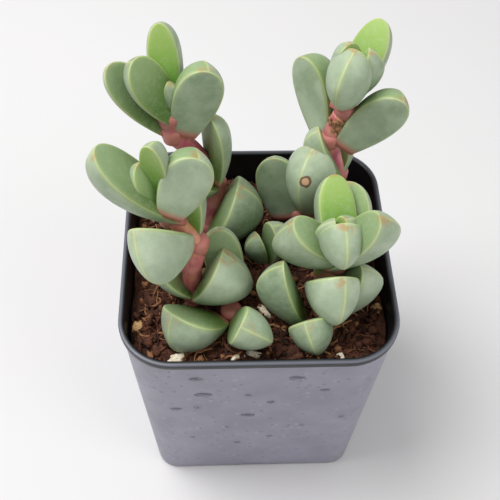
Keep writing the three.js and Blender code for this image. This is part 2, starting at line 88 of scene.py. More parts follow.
class NodeSheet:
    """One node material under construction, with short calls for the nodes used here."""

    def __init__(self, name: str) -> None:
        """Starts an empty material with one Principled shader."""
        self.material = bpy.data.materials.new(name)
        self.material.use_nodes = True
        self.tree = self.material.node_tree
        self.shader = self.tree.nodes["Principled BSDF"]
        self.place = self.add("ShaderNodeTexCoord").outputs["Object"]

    def add(self, kind: str, **settings: object) -> bpy.types.Node:
        """Adds a node and sets its properties.

        Args:
            kind: Blender's name of the node type.
            settings: Properties of the node by name.

        Returns:
            The new node.
        """
        node = self.tree.nodes.new(kind)
        for key, value in settings.items():
            setattr(node, key, value)
        return node

    def join(self, source: Socket, target: Socket) -> None:
        """Links one socket to another."""
        self.tree.links.new(source, target)

    def feed(self, target: Socket, value: object) -> None:
        """Links a socket, or sets its value where the value isn't a socket."""
        if isinstance(value, bpy.types.NodeSocket):
            self.join(value, target)
        else:
            target.default_value = value

    def reading(self, name: str) -> Socket:
        """Gives the value of a mesh attribute."""
        node = self.add("ShaderNodeAttribute", attribute_type="GEOMETRY", attribute_name=name)
        return node.outputs["Fac"]

    def stretched(self, x: float, y: float, z: float) -> Socket:
        """Gives the object position scaled on each axis."""
        node = self.add("ShaderNodeMapping")
        self.join(self.place, node.inputs["Vector"])
        node.inputs["Scale"].default_value = (x, y, z)
        return node.outputs["Vector"]

    def grain(
        self, size_mm: float, detail: float = 3.0, rough: float = 0.55, place: Socket | None = None
    ) -> Socket:
        """Gives soft noise with blotches of about one size.

        Args:
            size_mm: Width of a blotch in millimetres.
            detail: How many finer layers lie on it.
            rough: Strength of the finer layers.
            place: Position to read, or none for the object's own.

        Returns:
            A value from 0 to 1.
        """
        node = self.add("ShaderNodeTexNoise")
        self.join(place or self.place, node.inputs["Vector"])
        node.inputs["Scale"].default_value = 1 / (size_mm * MM)
        node.inputs["Detail"].default_value = detail
        node.inputs["Roughness"].default_value = rough
        return node.outputs["Fac"]

    def specks(self, size_mm: float, radius: float, soft: float = 0.08) -> Socket:
        """Gives round specks, one for each cell.

        Args:
            size_mm: Width of a cell in millimetres.
            radius: Radius of a speck as a share of the cell.
            soft: Width of its soft edge, as a share too.

        Returns:
            1 in a speck and 0 elsewhere.
        """
        node = self.add("ShaderNodeTexVoronoi")
        self.join(self.place, node.inputs["Vector"])
        node.inputs["Scale"].default_value = 1 / (size_mm * MM)
        return self.ramped(node.outputs["Distance"], radius, radius + soft, 1.0, 0.0)

    def away(self, spot: Point) -> Socket:
        """Gives the distance from a spot in millimetres."""
        node = self.add("ShaderNodeVectorMath", operation="DISTANCE")
        self.join(self.place, node.inputs[0])
        node.inputs[1].default_value = [part * MM for part in spot]
        return self.combined("DIVIDE", node.outputs["Value"], MM)

    def ramped(
        self, value: Socket, low: float, high: float, at_low: float = 0.0, at_high: float = 1.0
    ) -> Socket:
        """Maps a value from one range to another, smoothly and held at both ends."""
        node = self.add("ShaderNodeMapRange", interpolation_type="SMOOTHSTEP")
        self.join(value, node.inputs["Value"])
        ends = {"From Min": low, "From Max": high, "To Min": at_low, "To Max": at_high}
        for name, number in ends.items():
            node.inputs[name].default_value = number
        return node.outputs["Result"]

    def combined(self, kind: str, first: object, second: object) -> Socket:
        """Combines two values by one of Blender's operations, such as MAXIMUM."""
        node = self.add("ShaderNodeMath", operation=kind)
        self.feed(node.inputs[0], first)
        self.feed(node.inputs[1], second)
        return node.outputs["Value"]

    def plus(self, first: object, second: object) -> Socket:
        """Adds two values."""
        return self.combined("ADD", first, second)

    def times(self, first: object, second: object) -> Socket:
        """Multiplies two values."""
        return self.combined("MULTIPLY", first, second)

    def mixed(self, share: object, first: object, second: object, kind: str = "MIX") -> Socket:
        """Mixes two colours.

        Args:
            share: Share of the second colour.
            first: Colour code or socket.
            second: Colour code or socket.
            kind: Blend type.

        Returns:
            The mixed colour.
        """
        node = self.add("ShaderNodeMix", data_type="RGBA", blend_type=kind)
        self.feed(node.inputs["Factor"], share)
        for socket, value in ((node.inputs[6], first), (node.inputs[7], second)):
            self.feed(socket, hue(value) if isinstance(value, str) else value)
        return node.outputs[2]

    def relief(self, height: Socket, depth_mm: float, strength: float = 0.6) -> None:
        """Bumps the surface by a height value."""
        node = self.add("ShaderNodeBump")
        node.inputs["Strength"].default_value = strength
        node.inputs["Distance"].default_value = depth_mm * MM
        self.join(height, node.inputs["Height"])
        self.join(node.outputs["Normal"], self.shader.inputs["Normal"])

    def finish(self, colour: object, roughness: object, **constants: float) -> bpy.types.Material:
        """Sets the shader's main inputs.

        Args:
            colour: Colour socket or code.
            roughness: Roughness socket or number.
            constants: Other inputs by name, with underscores for spaces.

        Returns:
            The finished material.
        """
        self.feed(self.shader.inputs["Base Color"], hue(colour) if isinstance(colour, str) else colour)
        self.feed(self.shader.inputs["Roughness"], roughness)
        for key, value in constants.items():
            self.shader.inputs[key.replace("_", " ").title().replace("Ior", "IOR")].default_value = value
        return self.material


# Finishes


@dataclass(frozen=True)
class LeafSkin:
    """Waxy leaf skin: grey-green outer faces with painted shade on some leaves, greener inner faces, pale
    ridges with a painted highlight and a pink root.
    """

    outer_dark: str = "#6c8460"
    outer_pale: str = "#b9c7ad"
    inner_dark: str = "#54702f"
    inner_pale: str = "#8fa678"
    fresh_dark: str = "#5c9423"
    fresh_pale: str = "#9dbb62"
    band: str = "#a9b670"
    # Pale dots on the skin and the painted highlight along the ridges share this colour
    ridge: str = "#cdd8a0"
    root: str = "#bd766c"
    tip: str = "#b08a58"
    wax: str = "#bcc6b6"
    scar_at: Point = (11.4, 8.8, 81.3)
    scar_rim: str = "#6b4a33"
    scar_heart: str = "#d9ae8e"

    def build(self) -> bpy.types.Material:
        """Builds the material.

        Returns:
            The leaf material.
        """
        sheet = NodeSheet("leaf_skin")
        edge = sheet.reading("edge")
        along = sheet.reading("along")
        tone = sheet.reading("tone")
        blotch = sheet.ramped(sheet.grain(5.0, 3.0), 0.3, 0.7)
        # Each leaf's tone, partly its own colour and partly painted shade, darkens or pales its outer faces
        cloud = sheet.plus(sheet.times(blotch, 0.35), sheet.times(tone, 0.75))
        outer = sheet.mixed(cloud, self.outer_dark, self.outer_pale)
        length = sheet.ramped(along, 0.25, 0.95)
        plain = sheet.mixed(length, self.inner_dark, self.inner_pale)
        young = sheet.mixed(length, self.fresh_dark, self.fresh_pale)
        inner = sheet.mixed(sheet.reading("fresh"), plain, young)
        skin = sheet.mixed(sheet.reading("upper"), outer, inner)
        wax = sheet.times(sheet.ramped(sheet.grain(1.3, 5.0, 0.7), 0.45, 0.75), 0.22)
        skin = sheet.mixed(wax, skin, self.wax)
        skin = sheet.mixed(sheet.times(sheet.specks(0.75, 0.1), 0.28), skin, self.ridge)
        near = sheet.ramped(edge, 0.15, 1.3, 0.3, 0.0)
        skin = sheet.mixed(sheet.times(near, sheet.ramped(along, 0.2, 0.75, 0.35, 1.0)), skin, self.band)
        # Narrow painted highlight along each ridge, weaker towards the root
        bright = sheet.ramped(edge, 0.05, 0.4, 0.42, 0.0)
        line = sheet.times(bright, sheet.ramped(along, 0.05, 0.4, 0.3, 1.0))
        skin = sheet.mixed(line, skin, self.ridge)
        skin = sheet.mixed(sheet.ramped(along, 0.02, 0.15, 1.0, 0.0), skin, self.root)
        dry = sheet.ramped(sheet.grain(2.6, 3.0), 0.48, 0.62, 0.05, 0.7)
        skin = sheet.mixed(sheet.times(sheet.ramped(along, 0.95, 1.0), dry), skin, self.tip)
        wander = sheet.times(sheet.grain(1.4, 2.0), 0.9)
        far = sheet.plus(sheet.away(self.scar_at), wander)
        skin = sheet.mixed(sheet.ramped(far, 1.75, 2.05, 0.9, 0.0), skin, self.scar_rim)
        skin = sheet.mixed(sheet.ramped(far, 1.2, 1.45, 1.0, 0.0), skin, self.scar_heart)
        height = sheet.plus(sheet.grain(0.9, 3.0), sheet.specks(0.75, 0.12))
        sheet.relief(height, 0.05, 0.5)
        rough = sheet.ramped(sheet.grain(2.2, 3.0), 0.3, 0.7, 0.4, 0.58)
        scatter = sheet.shader.inputs["Subsurface Radius"]
        scatter.default_value = (1.0, 1.3, 0.4)
        return sheet.finish(
            skin, rough, subsurface_weight=0.22, subsurface_scale=1.6 * MM, specular_ior_level=0.42
        )


@dataclass(frozen=True)
class StemSkin:
    """Young fleshy stem: magenta to pink with orange and pale green flushes."""

    magenta: str = "#b64e67"
    pink: str = "#d48a80"
    orange: str = "#d9a35c"
    pale: str = "#e2c79a"

    def build(self) -> bpy.types.Material:
        """Builds the material.

        Returns:
            The stem material.
        """
        sheet = NodeSheet("stem_skin")
        flush = sheet.ramped(sheet.grain(6.0, 2.0), 0.35, 0.65)
        skin = sheet.mixed(flush, self.magenta, self.pink)
        warm = sheet.times(sheet.ramped(sheet.grain(9.0, 2.0), 0.48, 0.68), 0.75)
        skin = sheet.mixed(warm, skin, self.orange)
        streak = sheet.grain(1.0, 4.0, 0.6, sheet.stretched(1.0, 1.0, 0.22))
        skin = sheet.mixed(sheet.times(sheet.ramped(streak, 0.5, 0.8), 0.4), skin, self.pale)
        sheet.relief(streak, 0.12, 0.5)
        scatter = sheet.shader.inputs["Subsurface Radius"]
        scatter.default_value = (1.5, 0.7, 0.5)
        return sheet.finish(skin, 0.48, subsurface_weight=0.2, subsurface_scale=1.5 * MM)


@dataclass(frozen=True)
class NurseryPlastic:
    """Thin black moulded plastic: clean inside; outside scuffed and dusty with dried water spots, under a
    grey bloom that is partly dust and partly a painted reflection.
    """

    black: str = "#0a0c13"
    # Grey on every outer face: partly dusty bloom, partly a painted reflection of the bright surroundings
    bloom_and_reflection: str = "#918f9f"
    damp: str = "#5f5d6a"
    dust: str = "#b4b3bc"
    # Thin pale top edge of the rim: a painted highlight on the black plastic
    lip: str = "#62646e"

    def build(self) -> bpy.types.Material:
        """Builds the material.

        Returns:
            The pot material.
        """
        sheet = NodeSheet("pot_plastic")
        outside = sheet.reading("outside")
        # The outside gets the grey bloom, partly dust and partly a painted reflection; the inside stays
        # black
        cloud = sheet.ramped(sheet.grain(14.0, 4.0), 0.3, 0.72, 0.84, 1.0)
        bloom_and_reflection = sheet.times(outside, cloud)
        skin = sheet.mixed(bloom_and_reflection, self.black, self.bloom_and_reflection)
        spots = sheet.times(sheet.specks(3.0, 0.13, 0.12), sheet.ramped(sheet.grain(9.0), 0.4, 0.55))
        fine = sheet.times(sheet.specks(1.1, 0.12, 0.1), sheet.ramped(sheet.grain(5.0), 0.5, 0.7))
        dusty = sheet.times(sheet.combined("MAXIMUM", spots, sheet.times(fine, 0.6)), outside)
        skin = sheet.mixed(sheet.times(dusty, 0.55), skin, self.dust)
        wet = sheet.times(sheet.specks(2.3, 0.16, 0.08), sheet.ramped(sheet.grain(7.0), 0.4, 0.55))
        skin = sheet.mixed(sheet.times(sheet.times(wet, outside), 0.5), skin, self.damp)
        # Painted highlight along the rim's top edge
        skin = sheet.mixed(sheet.reading("lip"), skin, self.lip)
        scuff = sheet.grain(0.5, 2.0, 0.5, sheet.stretched(1.0, 1.0, 3.0))
        sheet.relief(sheet.plus(sheet.grain(2.5, 3.0), sheet.times(scuff, 0.3)), 0.05, 0.35)
        worn = sheet.ramped(sheet.grain(6.0, 4.0), 0.3, 0.7, 0.34, 0.46)
        rough = sheet.plus(worn, sheet.times(dusty, 0.3))
        return sheet.finish(skin, rough, specular_ior_level=0.5)


@dataclass(frozen=True)
class PottingMix:
    """Damp peat and coir: dark brown to reddish brown."""

    dark: str = "#140a07"
    brown: str = "#6a3c27"
    tan: str = "#b07f55"

    def build(self) -> bpy.types.Material:
        """Builds the material.

        Returns:
            The mix's material, also used for crumbs and fibres.
        """
        sheet = NodeSheet("potting_mix")
        tone = sheet.reading("tone")
        clump = sheet.ramped(sheet.grain(1.6, 5.0, 0.75), 0.36, 0.66)
        share = sheet.plus(sheet.times(clump, 0.6), sheet.times(tone, 0.55))
        skin = sheet.mixed(share, self.dark, self.brown)
        skin = sheet.mixed(sheet.ramped(tone, 0.7, 1.0, 0.0, 0.8), skin, self.tan)
        sheet.relief(sheet.grain(0.5, 4.0, 0.7), 0.25, 0.8)
        return sheet.finish(skin, 0.78, specular_ior_level=0.35)


@dataclass(frozen=True)
class RoughGrain:
    """Porous mineral grain or a chip of bark."""

    name: str
    dark: str
    pale: str

    def build(self) -> bpy.types.Material:
        """Builds the material.

        Returns:
            The grain's material.
        """
        sheet = NodeSheet(self.name)
        skin = sheet.mixed(sheet.ramped(sheet.grain(0.8, 4.0, 0.7), 0.3, 0.6), self.dark, self.pale)
        sheet.relief(sheet.grain(0.35, 3.0, 0.7), 0.2, 0.7)
        return sheet.finish(skin, 0.85)


@dataclass(frozen=True)
class WaterDrop:
    """Clear water."""

    def build(self) -> bpy.types.Material:
        """Builds the material.

        Returns:
            The water's material.
        """
        sheet = NodeSheet("water")
        tint = sheet.mixed(sheet.grain(0.6), "#f2f6f8", "#ffffff")
        return sheet.finish(tint, 0.04, transmission_weight=1.0, ior=1.33)


@dataclass(frozen=True)
class PaleFloor:
    """Matt white floor."""

    cool: str = "#dcdddb"
    warm: str = "#dfdcde"

    def build(self) -> bpy.types.Material:
        """Builds the material.

        Returns:
            The floor's material.
        """
        sheet = NodeSheet("pale_floor")
        skin = sheet.mixed(sheet.grain(60.0), self.cool, self.warm)
        return sheet.finish(skin, 0.9, specular_ior_level=0.1)


# Meshes gathered from patches


class Surface:
    """Points, faces and per-point values of one piece, gathered patch by patch."""

    def __init__(self, *readings: str) -> None:
        """Starts an empty surface with the names of its per-point values."""
        self.points: list[np.ndarray] = []
        self.faces: list[list[int]] = []
        self.readings: dict[str, list[np.ndarray]] = {name: [] for name in readings}
        self.count = 0

    def patch(self, points: np.ndarray, faces: Iterable[Sequence[int]], **readings: object) -> None:
        """Adds points in millimetres with their faces and values.

        Args:
            points: One row for each point.
            faces: Corner numbers within this patch.
            readings: Value, or array of values, for each named reading.
        """
        self.points.append(points)
        self.faces.extend([self.count + corner for corner in face] for face in faces)
        for name, kept in self.readings.items():
            kept.append(np.broadcast_to(np.asarray(readings.get(name, 0.0), float), (len(points),)))
        self.count += len(points)

    def piece(self, name: str, material: bpy.types.Material, slot: Slot | None = None) -> bpy.types.Object:
        """Makes the object.

        Args:
            name: Name of the piece.
            material: Its finish.
            slot: Material slot of the record, or none for the stage.

        Returns:
            The new object, riding on the only body unless it is part of the stage.
        """
        mesh = bpy.data.meshes.new(name)
        mesh.from_pydata((np.concatenate(self.points) * MM).tolist(), [], self.faces)
        for key, kept in self.readings.items():
            layer = mesh.attributes.new(key, "FLOAT", "POINT")
            layer.data.foreach_set("value", np.concatenate(kept).astype(np.float32))
        mesh.shade_smooth()
        mesh.materials.append(material)
        thing = bpy.data.objects.new(name, mesh)
        bpy.context.scene.collection.objects.link(thing)
        if slot is not None:
            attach(thing, BODY)
        LOG.info("%s: %d faces", name, len(self.faces))
        return thing


def loft_faces(rings: int, count: int, ends: bool = True) -> list[list[int]]:
    """Faces of a skin over rings of equal point count.

    Args:
        rings: Number of rings.
        count: Points in each ring.
        ends: True where the first and last rings are closed by one face each.

    Returns:
        Corner numbers of each face.
    """
    faces = []
    for i in range(rings - 1):
        for j in range(count):
            a, b = i * count + j, i * count + (j + 1) % count
            faces.append([a, b, b + count, a + count])
    if ends:
        faces.append(list(range(count))[::-1])
        faces.append([(rings - 1) * count + j for j in range(count)])
    return faces


def rise_and_turn(azimuth: float, rise: float, roll: float) -> tuple[np.ndarray, np.ndarray, np.ndarray]:
    """Directions of a leaf.

    Args:
        azimuth: Way it points, 0 to the right and 90 to the back, in degrees.
        rise: Angle above the horizon in degrees.
        roll: Turn about its own length in degrees.

    Returns:
        Unit vectors along it, across it and out of its upper face.
    """
    a, e, r = np.radians([azimuth, rise, roll])
    along = np.array([np.cos(e) * np.cos(a), np.cos(e) * np.sin(a), np.sin(e)])
    flat = np.array([-np.sin(e) * np.cos(a), -np.sin(e) * np.sin(a), np.cos(e)])
    up = flat * np.cos(r) + np.cross(flat, along) * np.sin(r)
    return along, np.cross(up, along), up


# Leaves


class Face(Enum):
    """The three faces of a leaf, in the order in which its section runs."""

    TOP = 0
    DOWN = 1
    BACK = 2


@dataclass(frozen=True)
class Swell:
    """How a leaf swells from its root and rounds off at its blunt tip, as shares of its full size."""

    root: float
    widest: float
    fall: float
    blunt: float

    def at(self, s: np.ndarray) -> np.ndarray:
        """Share of the full size at places from 0 at the root to 1 at the tip."""
        grow = self.root + (1 - self.root) * np.sin(np.pi / 2 * np.minimum(s / self.widest, 1))
        past = np.maximum((s - self.widest) / (1 - self.widest), 0)
        return grow * np.maximum(1 - past ** self.fall, 0) ** self.blunt


@dataclass(frozen=True)
class Leaf:
    """One three-sided leaf: angles in degrees, sizes in millimetres.

    Its tone runs from dark 0 to pale 1 and is partly the leaf's own colour and partly painted shade, most on
    leaves near the mix; fresh is 1 for a bright green inner face, and inner names the face that is turned to
    the stem.
    """

    azimuth: float
    rise: float
    roll: float
    length: float
    width: float
    depth: float
    shift: Point = (0.0, 0.0, 0.0)
    tone: float = 0.5
    fresh: float = 0.0
    inner: Face = Face.TOP

    CURL = 0.05
    BULGE = 0.16
    CROWN = 0.1
    WIDE = Swell(0.52, 0.58, 2.3, 0.5)
    DEEP = Swell(0.45, 0.6, 2.4, 0.5)
    RINGS = 46
    # Power by which the rings crowd towards the tip, and where the last one lies
    CROWDING = 2.3
    LAST_RING = 0.9999
    # Least half width or depth of a ring
    LEAST = 0.02
    PER_FACE = 16
    # Points on either side that round off a ridge, and how strongly
    SOFT_REACH = 3
    SOFT = 1.0

    def width_at(self, s: np.ndarray) -> np.ndarray:
        """Half width along the leaf, for shares of its length."""
        return self.width / 2 * self.WIDE.at(s)

    def depth_at(self, s: np.ndarray) -> np.ndarray:
        """Depth from the upper face to the keel, for shares of the length."""
        return self.depth * self.DEEP.at(s)

    def section(self, w: float, d: float) -> np.ndarray:
        """Cross-section of the leaf with softly rounded ridges.

        Args:
            w: Half width.
            d: Depth.

        Returns:
            Positions across and up, starting at one margin and going over the upper face.
        """
        t = np.arange(self.PER_FACE) / self.PER_FACE
        bulge = 4 * t * (1 - t)
        top = np.stack([w * (1 - 2 * t), self.CROWN * w * bulge], -1)
        down = np.stack([-(w * (1 - t) + d * self.BULGE * bulge), -d * t - w * self.BULGE * bulge], -1)
        back = np.stack([w * t + d * self.BULGE * bulge, -d * (1 - t) - w * self.BULGE * bulge], -1)
        ring = np.concatenate([top, down, back])
        reach = np.arange(-self.SOFT_REACH, self.SOFT_REACH + 1)
        weight = np.exp(-0.5 * (reach / self.SOFT) ** 2)
        return sum(np.roll(ring, k, axis=0) * share for k, share in zip(reach, weight / weight.sum()))

    def grow(self, surface: Surface, node: Point) -> None:
        """Adds this leaf to a surface.

        Args:
            surface: Where its patch goes.
            node: Point of the stem that it grows from.
        """
        along, across, up = rise_and_turn(self.azimuth, self.rise, self.roll)
        root = np.array(node) + self.shift
        u = np.linspace(0, 1, self.RINGS)
        places = 1 - (1 - u) ** self.CROWDING
        places[-1] = self.LAST_RING
        widths, depths = self.width_at(places), self.depth_at(places)
        count = 3 * self.PER_FACE
        ridges = np.arange(0, count + 1, self.PER_FACE)
        upper = (np.arange(count) // self.PER_FACE == self.inner.value).astype(float)
        points, edges = [], []
        for s, w, d in zip(places, widths, depths):
            ring = self.section(max(w, self.LEAST), max(d, self.LEAST))
            step = np.linalg.norm(np.roll(ring, -1, axis=0) - ring, axis=1)
            walk = np.concatenate([[0], np.cumsum(step)])
            edge = np.abs(walk[:-1, None] - walk[ridges][None]).min(axis=1)
            sag = self.CURL * self.length * (s * s - s)
            spot = root + along * self.length * s
            points.append(spot + ring[:, :1] * across + (ring[:, 1:] + sag) * up)
            edges.append(edge)
        surface.patch(
            np.concatenate(points),
            loft_faces(self.RINGS, count),
            edge=np.concatenate(edges),
            upper=np.tile(upper, self.RINGS),
            along=np.repeat(places, count),
            tone=self.tone,
            fresh=self.fresh,
        )


@dataclass(frozen=True)
class Node:
    """A place on a stem with the leaves that grow there."""

    at: Point
    leaves: tuple[Leaf, ...]

    # Rings of the joint: rise over the node, then half width along the first leaf and across it
    SLEEVE = (
        (-2.6, 2.2, 2.2), (-1.6, 2.4, 2.35), (-0.5, 2.65, 2.5),
        (0.4, 2.7, 2.5), (1.1, 2.4, 2.2), (1.6, 1.6, 1.5),
    )
    SIDES = 28
    # The joint is coloured as a leaf's root, well away from its ridges
    FAR_FROM_RIDGE = 3.0
    AT_ROOT = 0.03

    def sleeve(self, surface: Surface) -> None:
        """Adds the smooth joint where the leaf roots close round the stem."""
        turn = math.radians(self.leaves[0].azimuth)
        way = np.array([math.cos(turn), math.sin(turn), 0])
        side = np.array([-math.sin(turn), math.cos(turn), 0])
        angle = 2 * np.pi * np.arange(self.SIDES)[:, None] / self.SIDES
        rings = [
            np.array(self.at) + [0, 0, rise] + np.cos(angle) * way * a + np.sin(angle) * side * b
            for rise, a, b in self.SLEEVE
        ]
        # The joint takes the mean tone of its leaves, painted shade included
        surface.patch(
            np.concatenate(rings),
            loft_faces(len(rings), self.SIDES),
            edge=self.FAR_FROM_RIDGE,
            along=self.AT_ROOT,
            tone=np.mean([leaf.tone for leaf in self.leaves]),
        )

    def grow(self, surface: Surface) -> None:
        """Adds the joint and all leaves."""
        self.sleeve(surface)
        for leaf in self.leaves:
            leaf.grow(surface, self.at)


@dataclass
class LeafGroup:
    """The leaves that hold together as one piece."""

    name: str
    nodes: tuple[Node, ...]
    skin: bpy.types.Material | None = None

    def build(self) -> bpy.types.Object:
        """Builds the group in place of its solid.

        Returns:
            The new piece.
        """
        surface = Surface("edge", "upper", "along", "tone", "fresh")
        for node in self.nodes:
            node.grow(surface)
        piece = surface.piece(f"{self.name}_fine", self.skin, Slot.LEAF)
        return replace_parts(piece, f"leaves_{self.name}")


# Each leaf's tone, given after its shift, is partly its own colour and partly painted shade
HEAD_A = (
    Node((-19.5, 14.5, 96.5), (
        Leaf(100, 65, 12, 21.6, 6.7, 11, (0.2, -0.6, -0.6), 0.45, 1.0),
        Leaf(186, 62, 40, 19.4, 10, 5.5, (2.6, -0.1, -0.4), 0.3, 0.2),
    )),
    Node((-19.5, 14.4, 97), (Leaf(339, 87, 7, 11, 4.8, 4, (-0.6, 2, -2.6), 0.3, 0.7),)),
    Node((-19, 14, 93), (
        Leaf(171, 53, 34, 21, 9.4, 5.7, (0, 0.2, 0.1), 0.75),
        Leaf(13, 71, -80, 18.4, 10.8, 9, (2.6, -1.6, -0.2), 0.4, inner=Face.BACK),
    )),
)
HEAD_B = (
    Node((20.3, 19.8, 94), (
        Leaf(50, 49, 4, 22.3, 9.4, 7.7, (-1.9, -0.2, -0.5), 0.55, 1.0),
        Leaf(255, 84, 14, 15.8, 9.8, 8.9, (0.6, 1.3, 1.6), 0.55),
    )),
    Node((20.3, 19.7, 94.3), (
        Leaf(144, 85, 20, 17.5, 8.4, 4.5, (0.3, 0, 0), 0.4, 0.7),
        Leaf(354, 74, 3, 14.9, 6.4, 5.6, (-0.7, 1.6, 1.4), 0.35, 0.7),
    )),
)
HEAD_C = (
    Node((-20.8, -5.5, 90), (
        Leaf(55, 92, -7, 19.7, 6.2, 5.5, (-1.3, 0.7, -1.7), 0.5, 0.8),
        Leaf(148, 60, 4, 15, 7.5, 5.5, (2.1, -1.9, -1.8), 0.45, 0.3),
    )),
    Node((-19.6, -5.7, 88), (
        Leaf(175, 47, 1, 26, 11.3, 8.4, (4, 0.5, -1.2), 0.65),
        Leaf(31, 60, -58, 15.6, 10.8, 10.5, (0.3, -3.3, 2.4), 0.7, inner=Face.BACK),
    )),
)
HEAD_D = (
    Node((18, -10, 77.5), (
        Leaf(98, 36, -7, 20.2, 8.9, 9.9, (1.2, -1.6, -0.8), 0.55, 1.0),
        Leaf(281, 71, 7, 12.8, 9.5, 8.6, (-1.3, 2.8, 1.5), 0.6),
    )),
    Node((18, -9.8, 78.5), (
        Leaf(169, 77, -10, 11, 5.8, 4.9, (0.2, 0, 0), 0.5, 0.8),
        Leaf(14, 85, -12, 10.6, 6.3, 4.6, (-1, 0.5, 0.2), 0.5, 0.8),
    )),
    Node((17.5, -10.3, 76), (
        Leaf(178, 40, 9, 18.7, 8.6, 12.5, (3.8, 0.4, 1), 0.55),
        Leaf(352, 60, -21, 20.9, 8.5, 10.8, (-3.6, -0.2, -0.4), 0.65),
    )),
)
LEAF_GROUPS: dict[str, tuple[Node, ...]] = {
    "head_a": HEAD_A,
    "head_b": HEAD_B,
    "head_c": HEAD_C,
    "head_d": HEAD_D,
    "pair_b_middle": (
        Node((17.5, 19, 86), (
            Leaf(119, 57, 65, 19.6, 8.6, 11.4, (-2.4, -0.1, -0.5), 0.6, inner=Face.DOWN),
            Leaf(348, 56, -88, 20.5, 10.7, 8.5, (2.9, -2.7, -1.8), 0.55, inner=Face.BACK),
        )),
    ),
    "pair_c_middle": (
        Node((-13.6, -8, 80.6), (
            Leaf(221, 46, -43, 19.3, 8.6, 11.2, (-2.2, 1.2, 1), 0.8),
            Leaf(35, 90, -39, 17.4, 4, 6.6, (-0.9, 1.1, -1.7), 0.6, 0.6),
        )),
    ),
    "pair_d_middle": (
        Node((15.7, -11, 66.7), (
            Leaf(71, 47, 15, 25.3, 12.9, 9.3, (0.1, 0, 0), 0.5, 0.2),
            Leaf(298, 56, 23, 16.7, 11.2, 10.4, (-2.1, 1.2, 0.5), 0.75),
        )),
    ),
    "pair_a_middle": (
        Node((-9.4, 17, 72), (
            Leaf(35, 92, 4, 21.9, 10.1, 5, (-0.8, -2, 2.7), 0.5),
            Leaf(215, 42, 0, 13.5, 9, 7, tone=0.4),
        )),
    ),
    "pair_c_low": (
        Node((-15.4, -10, 64.6), (
            Leaf(179, 53, -16, 15.2, 10.5, 3.5, (1.2, -0.1, -0.3), 0.45),
            Leaf(21, 58, 37, 13.5, 16, 10.9, (0.5, -0.2, 0.2), 0.75),
        )),
    ),
    "rosette_k": (
        Node((-6.3, -14.5, 63), (
            Leaf(112, 55, 16, 17.5, 8.8, 10.3, (0.6, 2.1, 1.3), 0.65),
            Leaf(208, 40, -24, 15.3, 14.6, 9.1, (-2.7, -1.1, -0.7), 0.45),
            Leaf(280, 53, -55, 16.5, 9.4, 9.1, (-0.1, -2.1, -1.1), 0.45),
        )),
    ),
    "pair_b_low": (
        Node((21, 20.3, 71.8), (
            Leaf(198, 65, 14, 17.6, 10.4, 5.7, (0.8, 0.5, 0.6), 0.4),
            Leaf(62, 63, 16, 11.8, 6.2, 5.5, (-1.7, -1.1, -1.5), 0.2),
        )),
    ),
    "rosette_d": (
        Node((15.5, -15, 61.5), (
            Leaf(171, 72, -8, 22.3, 8.9, 8.2, (-3.8, -1.2, -1.2), 0.15),
            Leaf(6, 68, -3, 18.5, 8.2, 9, (-0.2, 0.1, 0), 0.6),
        )),
        Node((15.7, -16.5, 61), (Leaf(242, 53, -38, 15, 10.2, 8, (-2, 1, -1.2), 0.3),)),
    ),
    "pair_a_low": (
        Node((-12, 12, 62), (
            Leaf(6, 66, 17, 19.3, 17, 9.6, (-0.1, -2.2, -1.4), 0.15),
            Leaf(160, 40, 0, 15, 9, 8, tone=0.3),
        )),
    ),
    "pair_e": (
        Node((11, 13.5, 65), (
            Leaf(122, 70, 41, 17.8, 11.2, 5.5, (-3.6, -1.6, -1.3), 0.35, inner=Face.BACK),
            Leaf(282, 99, 41, 19.4, 12.9, 8.7, (3.5, 0.4, 0.7), 0.7),
        )),
    ),
    "pair_f": (
        Node((2.2, 0.7, 61), (
            Leaf(159, 77, -46, 9.4, 7.3, 4.3, (0.2, 0.4, 0.3), 0.1),
            Leaf(31, 84, 7, 13, 8.1, 6.4, tone=0.5),
        )),
    ),
    "leaf_c_lowest": (Node((-15, -10.2, 61), (Leaf(170, -6, -21, 9.7, 6.2, 5.5, (0.7, 0.2, 0), 0.3),)),),
}


# Stems


